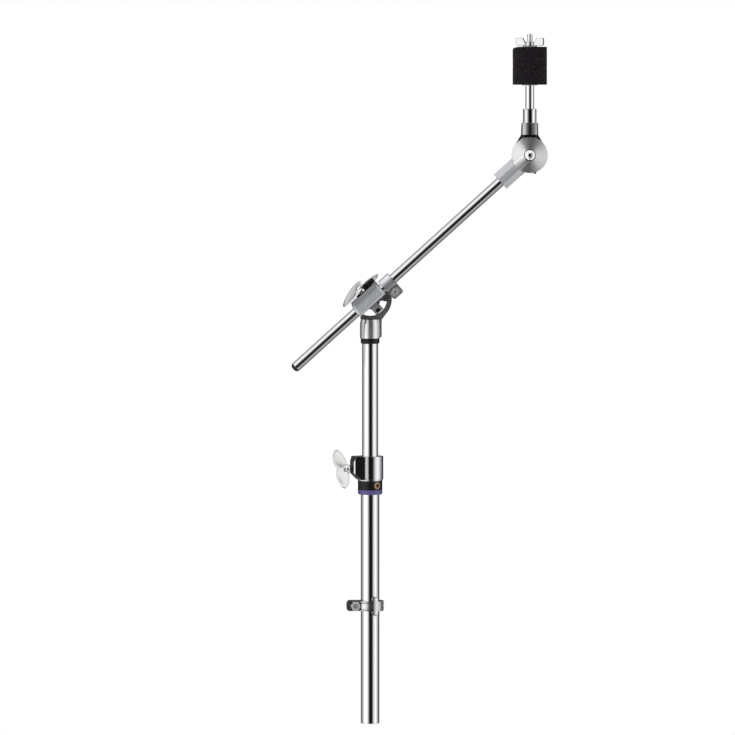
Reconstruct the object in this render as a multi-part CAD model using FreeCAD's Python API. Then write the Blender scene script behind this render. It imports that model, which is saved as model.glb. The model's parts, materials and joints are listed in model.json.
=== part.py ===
import FreeCAD, Part
import math
import os

"""Cymbal boom stand, upper section: telescopic tubes, boom tilter, boom arm and cymbal tilter.

Millimetres. The origin is the centre of the lower tube's open bottom end, +Z is up, the boom rises
towards +X and the front of the stand faces -Y.
"""

# ---- driving dimensions ----
RUN = 0.05                    # radial clearance of a running fit
SEAT = 0.03                   # radial clearance of a fixed seat
FACE = 0.05                   # gap between two faces that rest on each other

LOWER_R = 11.1                # lower tube, 22.2 mm outside
MIDDLE_R = 9.55               # middle tube, 19.1 mm outside
TUBE_WALL = 1.2
LOWER_TOP = 300.0
MIDDLE_BOTTOM = 140.0
FOOT_LENGTH = 128.0           # free lower end that a base section grips

LOCK_Z = 141.0                # memory lock on the lower tube
LOCK_HEIGHT = 12.0
LOCK_R = 15.4
LOCK_SPLIT = 0.3              # half of the gap between its two halves
LOCK_RIM = 1.4                # rim above and below the two grooves of its front half
LOCK_GROOVE = 1.0
LOCK_GROOVE_DEPTH = 1.8
LOCK_BOLT_X = -17.1
LOCK_EAR_END = -28.2
LOCK_EAR_DEPTH = 7.6
LOCK_EAR_BEVEL = 2.0
LOCK_BOLT_R = 2.5
LOCK_SEAT_R = 6.7             # room for the bolt's head and nut on the ears
HINGE_X = 13.9
HINGE_R = 2.5
HINGE_PIN_R = 1.1
MIDDLE_KNUCKLE = [(-2.0, 2.0)]
OUTER_KNUCKLES = [(-6.0, -2.0), (2.0, 6.0)]
INDEX_X = 6.6                 # index lug that drops into the slot of the section below
INDEX_WIDTH = 5.8
INDEX_LENGTH = 22.6

RING_Z = 273.9                # coloured ring under the height clamp
RING_HEIGHT = 5.5
BAND_HEIGHT = 10.8
BAND_R = 14.6
RIVET_R = 4.3
RIVET_ANGLE = -54.4           # rivet's direction round the band, from +X
RIVET_FLOOR = 12.65           # rivet's inner face, from the tube's axis

CLAMP_Z = 291.9               # height clamp casting
CLAMP_HEIGHT = 27.6
CLAMP_R = 15.7
CLAMP_LIP = 1.55
LINER_R = 11.25
LINER_TOP_GAP = 3.0
BOSS_REACH = 22.5             # from the tube's axis to the boss's end face
BOSS_HALF = 9.5
BOSS_ANGLE = 196.0            # boss direction from +X: left, and a little towards the front
CLAMP_WING_Z = 304.8
CLAMP_WING_SPIN = 40.0        # how far the wing is turned about its screw
CLAMP_SCREW_R = 4.0
CLAMP_PITCH = 1.25
WING_TIP = 28.6               # from a wing handle's axis to its tip
WING_START = -3.0             # a petal's inner end, past the axis
WING_HALF_WIDTH = 8.2
WING_THICK = 2.4

TILTER_COLLAR_Z = 453.5
TILTER_COLLAR_R = 11.15
SOCKET_Z = 459.9
SOCKET_TOP = 482.5
SOCKET_R = 12.0
SOCKET_RIB_X = 13.8
PIVOT_Z = 506.6               # boom tilt axis, along Y
BOOM_ANGLE = 42.2             # boom's rise at rest
BOOM_Y = -20.5                # the boom arm passes in front of the posts
RING_OUTER_R = 25.8           # ratchet ring of the tilter base
RING_WINDOW_R = 20.0
HUB_TOOTH_R = 12.6
HUB_ROOT_R = 11.2
PLATE_HALF = 4.5              # half the ratchet ring's thickness
RING_START = -118.0           # the ring's full-size stretch, in degrees from +X
RING_END = 24.0
HUB_R = 11.3                  # the plate's hub, where the ring is left out
WINDOW_START = -125.0
WINDOW_END = -8.0
TOOTH_PITCH = 6.0             # degrees
TRUNNION_R = 6.0
PIVOT_SCREW_R = 2.5
PIVOT_SCREW_LENGTH = 8.0
PIVOT_WASHER = 1.6

ARM_R = 5.85                  # boom arm, 11.7 mm outside
ARM_WALL = 1.6
ARM_REAR = -123.0             # along the boom, from the tilt axis
ARM_FRONT = 231.0
BUSH_R = 6.45
BODY_GAP = 0.3                # between the clamp body and the ratchet ring
BODY_FRONT_Y = -31.5
BODY_LOW = -7.2
BODY_HIGH = 11.6
BODY_R = 22.6                 # round left end of the clamp body
BODY_BOSS_TOP = 12.0          # seat of the wing bolt's washer
BODY_RIGHT = 19.0
BODY_EDGE = 4.0
BODY_BOSS_R = 4.5
TONGUE_WALL = 2.2             # the tongue's wall in front of the shoe
SCREW_U = -1.2                # wing bolt of the boom clamp
SCREW_Y = -9.4
SCREW_R = 3.0
SCREW_PITCH = 1.0
BOOM_SCREW_TOP = 17.8
WING_WASHER = 1.0
BOOM_WING_TWIST = 122.0       # petals lean 58 degrees from the screw's axis, far edge low on the right
TONGUE_HALF = 5.2
TONGUE_LOW = -18.4
SHOE_HALF = 4.2
SHOE_TOP = -6.4               # top of the shoe's saddle
SHOE_DROP = 1.05              # how far the shoe hangs below the arm's bush at rest

BOOM_LOCK_U = 21.2
BOOM_LOCK_LENGTH = 15.1
BOOM_LOCK_R = 9.5
BOOM_LOCK_BOLT_W = -13.3
BOOM_LOCK_HEAD_R = 5.2

TILT_U = 255.0                # cymbal tilter's axis along the boom
DISC_R = 21.2
HOLDER_U = 208.2
HOLDER_HALF = 11.15
HOLDER_FLAT = 4.0             # half the width of the holder's front flat
HOLDER_FRONT = 8.0
HOLDER_BACK = 7.0
TILT_BOLT_R = 4.0
TILT_HEAD_R = 6.5
TILT_WING_SPAN = 46.8
TILT_WING_ANGLE = -72.0

NECK_Z = 702.0
NECK_TOP = 716.0
NECK_R = 10.35
ROD_COLLAR_TOP = 732.7
ROD_COLLAR_R = 8.0
ROD_R = 5.2
SEAT_Z = 760.3
STUD_R = 3.2
STUD_PITCH = 1.0
STUD_TOP = 821.3
TOP_WING_SPAN = 35.6
TOP_WING_TURN = -25.0
SLEEVE_R = 5.0
FELT_R = 20.5
FELT_HEIGHT = 22.35
SEAT_WASHER = 0.8
TOP_WASHER = 1.1
TOP_WASHER_SEAT = SEAT_WASHER + 2 * FELT_HEIGHT + 3 * FACE

V = FreeCAD.Vector
X_AXIS = V(1, 0, 0)
Y_AXIS = V(0, 1, 0)
Z_AXIS = V(0, 0, 1)


def direction(degrees):
    """Unit vector in the XZ plane at an angle from +X."""
    return V(math.cos(math.radians(degrees)), 0, math.sin(math.radians(degrees)))


ALONG = direction(BOOM_ANGLE)          # along the boom, up and outwards
UPRIGHT = direction(BOOM_ANGLE + 90)   # square to the boom, upwards
PIVOT = V(0, 0, PIVOT_Z)
TILT_CENTRE = PIVOT + ALONG * TILT_U + Y_AXIS * BOOM_Y
BOSS_OUT = V(math.cos(math.radians(BOSS_ANGLE)), math.sin(math.radians(BOSS_ANGLE)), 0)


# ---- helpers ----
def cylinder(radius, length, base=V(0, 0, 0), axis=Z_AXIS):
    return Part.makeCylinder(radius, length, base, axis)


def ring(outer, inner, length, base=V(0, 0, 0), axis=Z_AXIS):
    return cylinder(outer, length, base, axis).cut(cylinder(inner, length, base, axis))


def box(low, high):
    """Box between two corners."""
    size = high - low
    return Part.makeBox(size.x, size.y, size.z, low)


def turned(outline):
    """Solid of revolution about Z from (radius, height) points."""
    points = [V(r, 0, h) for r, h in outline]
    face = Part.Face(Part.makePolygon(points + points[:1]))
    return face.revolve(V(0, 0, 0), Z_AXIS, 360)


def prism(outline, y_low, y_high):
    """Extrusion along Y of (x, z) points."""
    points = [V(x, y_low, z) for x, z in outline]
    face = Part.Face(Part.makePolygon(points + points[:1]))
    return face.extrude(V(0, y_high - y_low, 0))


def placed(shape, origin, along, across):
    """Shape moved so that its Z lies along one direction and its X towards another."""
    turn = FreeCAD.Rotation(across, V(0, 0, 0), along, "ZXY")
    moved = shape.copy()
    moved.Placement = FreeCAD.Placement(origin, turn).multiply(moved.Placement)
    return moved


def on_boom(shape):
    """From the boom's own frame (along, Y, upright) to the stand's."""
    return placed(shape, PIVOT, UPRIGHT, ALONG)


def on_rod(shape):
    """From a frame centred on the cymbal tilter's axis to the stand's."""
    return shape.translated(TILT_CENTRE)


def spun(shape, degrees, centre=V(0, 0, 0), axis=Z_AXIS):
    """Copy of a shape turned about an axis."""
    copy = shape.copy()
    copy.rotate(centre, axis, degrees)
    return copy


def thread(radius, pitch, length, share=0.45):
    """Threaded stretch from z = 0 upwards, as ridges of one pitch each, a share of it deep."""
    depth = pitch * share
    count = int(length / pitch)
    outline = [(0, 0)]
    for k in range(count):
        outline.append((radius - depth, k * pitch))
        outline.append((radius, (k + 0.5) * pitch))
    outline += [(radius - depth, count * pitch), (radius - depth, length), (0, length)]
    return turned(outline)


def hexagon(across_flats, length, base_z=0.0):
    """Six-sided prism about Z."""
    corner = across_flats / math.sqrt(3)
    angles = [math.radians(60 * k) for k in range(6)]
    points = [V(corner * math.cos(a), corner * math.sin(a), base_z) for a in angles]
    return Part.Face(Part.makePolygon(points + points[:1])).extrude(V(0, 0, length))


def petal(centre_x, centre_z, half_length, half_width, thickness, twist):
    """Oval wing plate whose long axis is X, turned about that axis from the XZ plane."""
    curve = Part.Ellipse(V(0, 0, 0), half_length, half_width)
    plate = Part.Face(Part.Wire(curve.toShape())).extrude(V(0, 0, thickness))
    plate.translate(V(0, 0, -thickness / 2))
    plate.rotate(V(0, 0, 0), X_AXIS, 90 - twist)
    plate.translate(V(centre_x, 0, centre_z))
    return plate


def wing(neck_r, neck_low, neck_high, wing_z, twist):
    """Cast wing handle about Z with two oval petals along X."""
    middle = (WING_TIP + WING_START) / 2
    half_length = (WING_TIP - WING_START) / 2
    plate = petal(middle, wing_z, half_length, WING_HALF_WIDTH, WING_THICK, twist)
    hub = cylinder(neck_r, neck_high - neck_low, V(0, 0, neck_low))
    return hub.fuse([plate, spun(plate, 180)]).removeSplitter()


# ---- lower and middle tubes ----
def lower_tube():
    inner = LOWER_R - TUBE_WALL
    edge = 0.5
    groove = 0.05
    line = 0.35
    return turned([
        (inner, edge), (inner + edge / 2, 0), (LOWER_R - edge, 0), (LOWER_R, edge),
        (LOWER_R, FOOT_LENGTH), (LOWER_R - groove, FOOT_LENGTH + line),
        (LOWER_R, FOOT_LENGTH + 2 * line), (LOWER_R, LOWER_TOP), (inner, LOWER_TOP),
    ])


def middle_tube():
    top = SOCKET_TOP - 5.0
    tube = ring(MIDDLE_R, MIDDLE_R - TUBE_WALL, top - MIDDLE_BOTTOM, V(0, 0, MIDDLE_BOTTOM))
    return tube.cut(pin_hole())


# ---- memory lock on the lower tube ----
def lock_blank():
    """Whole lock with its ears, before it is split into a front and a back half."""
    half = LOCK_HEIGHT / 2
    slope_x = LOCK_EAR_END + LOCK_EAR_BEVEL
    slope_z = half - 1.5 * LOCK_EAR_BEVEL
    ears = prism([
        (LOCK_EAR_END, -slope_z), (slope_x, -half), (-LOWER_R, -half),
        (-LOWER_R, half), (slope_x, half), (LOCK_EAR_END, slope_z),
    ], -LOCK_EAR_DEPTH, LOCK_EAR_DEPTH)
    body = cylinder(LOCK_R, LOCK_HEIGHT, V(0, 0, -half)).fuse(ears)
    body = body.cut(cylinder(LOWER_R + RUN, LOCK_HEIGHT, V(0, 0, -half)))
    return body.cut(cylinder(LOCK_BOLT_R + 2 * RUN, 40, V(LOCK_BOLT_X, -20, 0), Y_AXIS))


def knuckle(low, high, radius=HINGE_R):
    return cylinder(radius, high - low, V(HINGE_X, 0, low))


def lock_half(side, own, mate):
    """One half of the lock, front (-1) or back (+1), with its own and its mate's hinge knuckles."""
    half = LOCK_HEIGHT / 2
    keep = box(V(-40, LOCK_SPLIT, -half), V(40, 40, half))
    seat = cylinder(LOCK_SEAT_R, 12, V(LOCK_BOLT_X, LOCK_EAR_DEPTH, 0), Y_AXIS)
    if side < 0:
        keep = spun(keep, 180, axis=X_AXIS)
        seat = spun(seat, 180, axis=X_AXIS)
    part = lock_blank().common(keep).cut(seat)
    for low, high in mate:
        part = part.cut(knuckle(low, high, HINGE_R + 4 * RUN))
    for low, high in own:
        part = part.fuse(knuckle(low + RUN, high - RUN))
    part = part.cut(cylinder(LOWER_R + RUN, LOCK_HEIGHT, V(0, 0, -half)))
    return part.cut(knuckle(-half, half, HINGE_PIN_R + SEAT))


def lock_grooves():
    """Two grooves along the front half's strap and ear."""
    half = LOCK_HEIGHT / 2
    ear_face = -LOCK_EAR_DEPTH + LOCK_GROOVE_DEPTH
    strap_end = INDEX_X - INDEX_WIDTH / 2 - 0.6
    strap = box(V(-14.0, -30, -half), V(strap_end, -7, half))
    grooves = []
    for z in (-half + LOCK_RIM, half - LOCK_RIM - LOCK_GROOVE):
        round_strap = ring(LOCK_R + 3, LOCK_R - LOCK_GROOVE_DEPTH, LOCK_GROOVE, V(0, 0, z))
        grooves.append(round_strap.common(strap))
        grooves.append(box(V(LOCK_EAR_END + 5, -LOCK_EAR_DEPTH - 1, z), V(-12.5, ear_face, z + LOCK_GROOVE)))
    return grooves


def index_lug():
    """Round-ended lug that stands out of the strap."""
    front = -18.0
    back = -11.9
    end = (INDEX_LENGTH - INDEX_WIDTH) / 2
    lug = box(V(INDEX_X - INDEX_WIDTH / 2, front, -end), V(INDEX_X + INDEX_WIDTH / 2, back, end))
    for z in (-end, end):
        lug = lug.fuse(cylinder(INDEX_WIDTH / 2, back - front, V(INDEX_X, front, z), Y_AXIS))
    start = V(0, 0, -INDEX_LENGTH / 2)
    return lug.common(ring(LOCK_R + 1.2, LOWER_R + 0.7, INDEX_LENGTH, start))


def lock_front():
    part = lock_half(-1, OUTER_KNUCKLES, MIDDLE_KNUCKLE)
    for groove in lock_grooves():
        part = part.cut(groove)
    return part.fuse(index_lug()).removeSplitter().translated(V(0, 0, LOCK_Z))


def lock_back():
    part = lock_half(1, MIDDLE_KNUCKLE, OUTER_KNUCKLES)
    return part.removeSplitter().translated(V(0, 0, LOCK_Z))


def lock_hinge_pin():
    half = LOCK_HEIGHT / 2
    return cylinder(HINGE_PIN_R, LOCK_HEIGHT, V(HINGE_X, 0, LOCK_Z - half))


def lock_bolt():
    """Hexagon-head bolt with a square key socket, along Y."""
    head = 4.2
    socket = box(V(-2.2, -2.2, -1), V(2.2, 2.2, 2.2))
    shank = thread(LOCK_BOLT_R, 0.8, 19.0).translated(V(0, 0, head))
    bolt = hexagon(11.0, head).cut(socket).fuse(shank)
    start = V(LOCK_BOLT_X, -LOCK_EAR_DEPTH - head - FACE, LOCK_Z)
    return placed(bolt, start, Y_AXIS, X_AXIS)


def lock_nut():
    nut = hexagon(9.0, 3.6).cut(cylinder(LOCK_BOLT_R + RUN, 3.6))
    return placed(nut, V(LOCK_BOLT_X, LOCK_EAR_DEPTH + FACE, LOCK_Z), Y_AXIS, X_AXIS)


# ---- height clamp ----
def clamp_ring():
    edge = 1.5
    bore = LOWER_R + SEAT
    return turned([
        (bore, 0), (BAND_R - edge, 0), (BAND_R - edge / 3, edge / 3), (BAND_R, edge),
        (BAND_R, RING_HEIGHT), (bore, RING_HEIGHT),
    ]).translated(V(0, 0, RING_Z))


def rivet_axis():
    angle = math.radians(RIVET_ANGLE)
    return V(math.cos(angle), math.sin(angle), 0)


def rivet_centre():
    return V(0, 0, RING_Z + RING_HEIGHT + FACE + BAND_HEIGHT / 2)


def clamp_band():
    band = ring(BAND_R, LOWER_R + SEAT, BAND_HEIGHT, V(0, 0, RING_Z + RING_HEIGHT + FACE))
    seat = rivet_centre() + rivet_axis() * (RIVET_FLOOR - FACE)
    return band.cut(cylinder(RIVET_R + SEAT, 5, seat, rivet_axis()))


def band_rivet():
    """Plain brass rivet with a hollow middle, set in the band."""
    dome = turned([
        (0, 0), (RIVET_R, 0), (RIVET_R, 1.7), (RIVET_R - 0.7, 2.3), (2.3, 2.5), (1.9, 2.2), (1.8, 1.2),
        (0, 1.2),
    ])
    return placed(dome, rivet_centre() + rivet_axis() * RIVET_FLOOR, rivet_axis(), Z_AXIS)


def boss_frame(shape):
    """From a frame whose Z runs out along the wing screw to the stand's."""
    return placed(shape, V(0, 0, CLAMP_WING_Z), BOSS_OUT, Z_AXIS)


def clamp_boss():
    """Faceted boss along +X, tangent to the hub, with its lower and upper edges sloped off."""
    reach = math.hypot(BOSS_REACH, BOSS_HALF)
    tangent = math.atan2(BOSS_HALF, BOSS_REACH) + math.acos(CLAMP_R / reach)
    side_x = CLAMP_R * math.cos(tangent)
    side_y = CLAMP_R * math.sin(tangent)
    bevel = 1.3
    upper = [
        (0, side_y), (side_x, side_y), (BOSS_REACH - bevel, BOSS_HALF + bevel / 2),
        (BOSS_REACH, BOSS_HALF - bevel),
    ]
    outline = upper + [(x, -y) for x, y in reversed(upper)]
    points = [V(x, y, 0) for x, y in outline]
    boss = Part.Face(Part.makePolygon(points + points[:1])).extrude(V(0, 0, CLAMP_HEIGHT))
    end = BOSS_REACH + 1
    top = CLAMP_HEIGHT + 1
    under = prism([(end, -1), (end, 8.6), (13.2, -1)], -20, 20)
    over = prism([(end, CLAMP_HEIGHT - 9), (end, top), (19.6, top)], -20, 20)
    return spun(boss.cut([under, over]), BOSS_ANGLE)


def height_clamp_body():
    """Cast hub with a faceted boss for the wing screw and a lip that stands on the band."""
    low = CLAMP_Z - CLAMP_LIP
    top = CLAMP_Z + CLAMP_HEIGHT
    shelf = top - LINER_TOP_GAP
    hub = cylinder(CLAMP_R, CLAMP_HEIGHT, V(0, 0, CLAMP_Z))
    lip = cylinder(CLAMP_R - 0.9, CLAMP_LIP, V(0, 0, low))
    body = hub.fuse([clamp_boss().translated(V(0, 0, CLAMP_Z)), lip]).removeSplitter()
    body = body.cut(cylinder(LOWER_R + SEAT, LOWER_TOP - low, V(0, 0, low)))
    body = body.cut(cylinder(LINER_R + RUN, shelf - LOWER_TOP, V(0, 0, LOWER_TOP)))
    body = body.cut(cylinder(MIDDLE_R + 2 * RUN, LINER_TOP_GAP, V(0, 0, shelf)))
    return body.cut(boss_frame(cylinder(CLAMP_SCREW_R + RUN, BOSS_REACH, V(0, 0, 5))))


def clamp_liner():
    """Split nylon sleeve that grips the middle tube."""
    length = CLAMP_Z + CLAMP_HEIGHT - LINER_TOP_GAP - LOWER_TOP - 2 * FACE
    liner = ring(LINER_R, MIDDLE_R + RUN, length, V(0, 0, LOWER_TOP + FACE))
    return liner.cut(box(V(0, -0.8, LOWER_TOP), V(20, 0.8, LOWER_TOP + 40)))


def clamp_pad():
    """Nylon plug between the screw's tip and the liner."""
    pad = cylinder(CLAMP_SCREW_R - 0.05, 4.6, V(0, 0, 10.4))
    pad = boss_frame(pad)
    return pad.cut(cylinder(LINER_R + FACE + 0.02, 60, V(0, 0, CLAMP_Z)))


def clamp_wing_screw():
    start = 15.0 + FACE
    screw = thread(CLAMP_SCREW_R, CLAMP_PITCH, 18.0)
    return boss_frame(spun(screw.translated(V(0, 0, start)), CLAMP_WING_SPIN))


def clamp_wing():
    """Wing handle with a short tapered neck, cast on to its screw."""
    handle = wing(4.6, 26.0, 41.0, 37.5, 0)
    neck = cylinder(5.5, 4.5, V(0, 0, 26.0))
    handle = handle.fuse(neck).cut(cylinder(CLAMP_SCREW_R + SEAT, 7.1 + FACE, V(0, 0, 26.0)))
    return boss_frame(spun(handle.removeSplitter(), CLAMP_WING_SPIN))


# ---- tilter base ----
def pin_hole(radius=2.0 + SEAT):
    return cylinder(radius, 12, V(0, 5, SOCKET_Z + 9), Y_AXIS)


def socket_pin():
    """Spring pin through the back wall of the socket and the tube."""
    return cylinder(2.0, 5.4, V(0, 6.4, SOCKET_Z + 9), Y_AXIS)


def tilter_collar():
    edge = 1.2
    height = SOCKET_Z - TILTER_COLLAR_Z - FACE
    return turned([
        (MIDDLE_R + SEAT, 0), (TILTER_COLLAR_R - edge, 0), (TILTER_COLLAR_R, edge), (TILTER_COLLAR_R, height),
        (MIDDLE_R + SEAT, height),
    ]).translated(V(0, 0, TILTER_COLLAR_Z))


def sector(outer, start, end, half):
    """Disc sector about the tilt axis, between two angles in the XZ plane."""
    steps = [start + (end - start) * k / 12 for k in range(13)]
    far = outer * 1.5
    wedge = [(0, 0)] + [(far * direction(a).x, far * direction(a).z) for a in steps]
    return cylinder(outer, 2 * half, V(0, -half, 0), Y_AXIS).common(prism(wedge, -half, half))


def ratchet_plate():
    """Plate about the tilt axis: a toothed hub inside a windowed ring, with a web down to the socket."""
    top = SOCKET_TOP - PIVOT_Z
    foot = SOCKET_Z - PIVOT_Z + 2
    left = -SOCKET_R + 1.0
    web = prism([
        (left, top - 3), (SOCKET_RIB_X - 3, foot - 1), (SOCKET_RIB_X, foot), (SOCKET_RIB_X, top - 0.4),
        (RING_OUTER_R * 0.85, -RING_OUTER_R * 0.52), (0, 0), (left, top + 1.6),
    ], -PLATE_HALF, PLATE_HALF)
    plate = cylinder(HUB_R, 2 * PLATE_HALF, V(0, -PLATE_HALF, 0), Y_AXIS)
    plate = plate.fuse([sector(RING_OUTER_R, RING_START, RING_END, PLATE_HALF), web])
    deep = PLATE_HALF + 1
    window = sector(RING_WINDOW_R, WINDOW_START, WINDOW_END, deep)
    plate = plate.cut(window.cut(cylinder(HUB_TOOTH_R, 2 * deep, V(0, -deep, 0), Y_AXIS)))
    for notch in hub_notches() + ring_marks():
        plate = plate.cut(notch)
    return plate.cut(cylinder(TRUNNION_R + RUN, 2 * deep, V(0, -deep, 0), Y_AXIS)).translated(PIVOT)


def hub_notches():
    """V notches between the hub's teeth, in step with the shoe's teeth at the rest angle."""
    deep = PLATE_HALF + 1
    mouth = HUB_TOOTH_R + 0.3
    notch = prism([(0.62, -mouth), (0, -HUB_ROOT_R), (-0.62, -mouth)], -deep, deep)
    first = math.ceil((WINDOW_START + 90 - BOOM_ANGLE) / TOOTH_PITCH)
    last = math.floor((WINDOW_END + 90 - BOOM_ANGLE) / TOOTH_PITCH)
    turns = [-(BOOM_ANGLE + k * TOOTH_PITCH) for k in range(first, last + 1)]
    return [spun(notch, turn, axis=Y_AXIS) for turn in turns]


def ring_marks():
    """Four shallow marks on the ring's front face."""
    mark = box(V(15.0, -PLATE_HALF - 1, -0.7), V(22.2, -PLATE_HALF + 1.0, 0.7))
    return [spun(mark, 4 - 8 * k, axis=Y_AXIS) for k in range(4)]


def tilter_base():
    """Chromed socket for the middle tube that carries the toothed ratchet ring."""
    height = SOCKET_TOP - SOCKET_Z
    socket = turned([(0, 0), (SOCKET_R, 0), (SOCKET_R, height - 5.1), (SOCKET_R - 0.9, height), (0, height)])
    base = socket.translated(V(0, 0, SOCKET_Z)).fuse(ratchet_plate()).removeSplitter()
    base = base.cut(cylinder(MIDDLE_R + SEAT, height - 5.0 + FACE, V(0, 0, SOCKET_Z)))
    return base.cut(pin_hole())


# ---- boom clamp, in the boom's frame ----
def clamp_block():
    """D-shaped block cut from a disc about the tilt axis, with softened front edges."""
    back = -PLATE_HALF - BODY_GAP
    disc = cylinder(BODY_R, back - BODY_FRONT_Y, V(0, BODY_FRONT_Y, 0), Y_AXIS)
    block = disc.common(box(V(-30, BODY_FRONT_Y, BODY_LOW), V(BODY_RIGHT, back, BODY_HIGH)))
    front = [edge for edge in block.Edges if edge.BoundBox.YMax < BODY_FRONT_Y + 0.01]
    return block.makeFillet(BODY_EDGE, front)


def shoe_slot(front):
    """Room for the shoe, from a front face back to the ratchet ring, clear of the trunnion's root."""
    half = SHOE_HALF + RUN
    back = -PLATE_HALF - BODY_GAP + 1
    slot = box(V(SCREW_U - half, front, TONGUE_LOW - 1), V(SCREW_U + half, back, -5.0))
    return slot.cut(cylinder(TRUNNION_R + 2, 20, V(0, -8, 0), Y_AXIS))


def boom_clamp_body():
    """Satin casting round the arm, with a trunnion in the ratchet hub and a tongue that guides the shoe."""
    back = -PLATE_HALF - BODY_GAP
    shoe_front = BOOM_Y - SHOE_HALF
    front = shoe_front - TONGUE_WALL
    boss_low = 6.4
    boss = cylinder(BODY_BOSS_R, BODY_BOSS_TOP - boss_low, V(SCREW_U, SCREW_Y, boss_low))
    tongue = box(V(SCREW_U - TONGUE_HALF, front, TONGUE_LOW), V(SCREW_U + TONGUE_HALF, back, BODY_LOW + 1))
    trunnion = cylinder(TRUNNION_R, PLATE_HALF + FACE - back + 2, V(0, back - 2, 0), Y_AXIS)
    body = clamp_block().fuse([boss, tongue, trunnion]).removeSplitter()
    body = body.cut(shoe_slot(shoe_front - 0.1))
    body = body.cut(box(V(SCREW_U - 2.6, front - 1, -16.9), V(SCREW_U + 2.6, BOOM_Y - 3, -13.4)))
    body = body.cut(cylinder(BUSH_R + RUN, 80, V(-40, BOOM_Y, 0), X_AXIS))
    body = body.cut(cylinder(SCREW_R + 2 * RUN, 40, V(SCREW_U, SCREW_Y, -20)))
    bore = PIVOT_SCREW_LENGTH - 2 * FACE - 0.5
    return on_boom(body.cut(cylinder(PIVOT_SCREW_R + SEAT, bore, V(0, PLATE_HALF + 0.1 - bore, 0), Y_AXIS)))


def pivot_washer():
    hole = PIVOT_SCREW_R + SEAT
    return ring(10.0, hole, PIVOT_WASHER, V(0, PLATE_HALF + 2 * FACE, 0), Y_AXIS).translated(PIVOT)


def pivot_screw():
    """Dome-head screw that keeps the clamp's trunnion in the ratchet ring."""
    seat = PIVOT_SCREW_LENGTH
    head = turned([
        (0, 0), (PIVOT_SCREW_R, 0), (PIVOT_SCREW_R, seat), (5.6, seat), (5.4, seat + 1.6),
        (4.0, seat + 2.9), (2.2, seat + 3.4), (0, seat + 3.4),
    ])
    head = head.cut(hexagon(3.0, 4.0, seat + 1.6))
    start = PLATE_HALF + 3 * FACE + PIVOT_WASHER - seat
    return placed(head, PIVOT + V(0, start, 0), Y_AXIS, X_AXIS)


def boom_bush():
    """Thin split sleeve in which the arm turns and slides."""
    length = BODY_RIGHT + 19.6
    bush = ring(BUSH_R, ARM_R + RUN, length, V(-20.0, BOOM_Y, 0), X_AXIS)
    return on_boom(bush.cut(box(V(-30, BOOM_Y - 0.6, 0), V(30, BOOM_Y + 0.6, 10))))


def tilt_shoe():
    """Toothed shoe that the wing bolt draws up against the arm and the ratchet hub."""
    low = TONGUE_LOW + 0.9
    left = SCREW_U - SHOE_HALF
    right = SCREW_U + SHOE_HALF
    saddle = box(V(left, BOOM_Y - SHOE_HALF, low), V(right, BOOM_Y + 5.5, SHOE_TOP))
    saddle = saddle.cut(cylinder(BUSH_R + SHOE_DROP, 40, V(-20, BOOM_Y, 0), X_AXIS))
    root = -HUB_TOOTH_R - 1.3
    shoe = saddle.fuse(box(V(left, BOOM_Y, low), V(right, PLATE_HALF - 0.3, root)))
    flank = [(-0.45, root - 0.3), (-0.42, root), (-0.06, root + 1.2)]
    outline = flank + [(-x, z) for x, z in reversed(flank)]
    tooth = prism(outline, -PLATE_HALF + 0.3, PLATE_HALF - 0.3)
    for k in (-1, 0, 1):
        shoe = shoe.fuse(spun(tooth, k * TOOTH_PITCH, axis=Y_AXIS))
    return on_boom(shoe.removeSplitter().cut(cylinder(SCREW_R + RUN, 40, V(SCREW_U, SCREW_Y, -20))))


def boom_wing_screw():
    low = -15.2
    screw = thread(SCREW_R, SCREW_PITCH, BOOM_SCREW_TOP - low)
    return on_boom(screw.translated(V(SCREW_U, SCREW_Y, low)))


def boom_wing_washer():
    seat = V(SCREW_U, SCREW_Y, BODY_BOSS_TOP + FACE)
    return on_boom(ring(4.9, SCREW_R + 2 * RUN, WING_WASHER, seat))


def boom_wing():
    low = BODY_BOSS_TOP + WING_WASHER + 2 * FACE
    handle = wing(4.4, low, low + 7.2, low + 4.1, BOOM_WING_TWIST)
    handle = handle.cut(cylinder(SCREW_R + SEAT, BOOM_SCREW_TOP + FACE - low, V(0, 0, low)))
    return on_boom(handle.removeSplitter().translated(V(SCREW_U, SCREW_Y, 0)))


# ---- boom arm and its memory lock, in the boom's frame ----
def boom_arm():
    inner = ARM_R - ARM_WALL
    length = ARM_FRONT - ARM_REAR - 4.0
    arm = ring(ARM_R, inner, length, V(ARM_REAR + 4.0, BOOM_Y, 0), X_AXIS)
    return on_boom(arm.cut(holder_pin_hole()))


def boom_end_cap():
    """Rounded plug in the arm's rear end."""
    inner = ARM_R - ARM_WALL - SEAT
    plug = turned([
        (0, 0), (2.6, 0.25), (4.4, 1.2), (5.5, 2.6), (ARM_R, 4.0 - FACE), (inner, 4.0 - FACE), (inner, 16),
        (0, 16),
    ])
    return on_boom(placed(plug, V(ARM_REAR, BOOM_Y, 0), X_AXIS, Y_AXIS))


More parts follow.
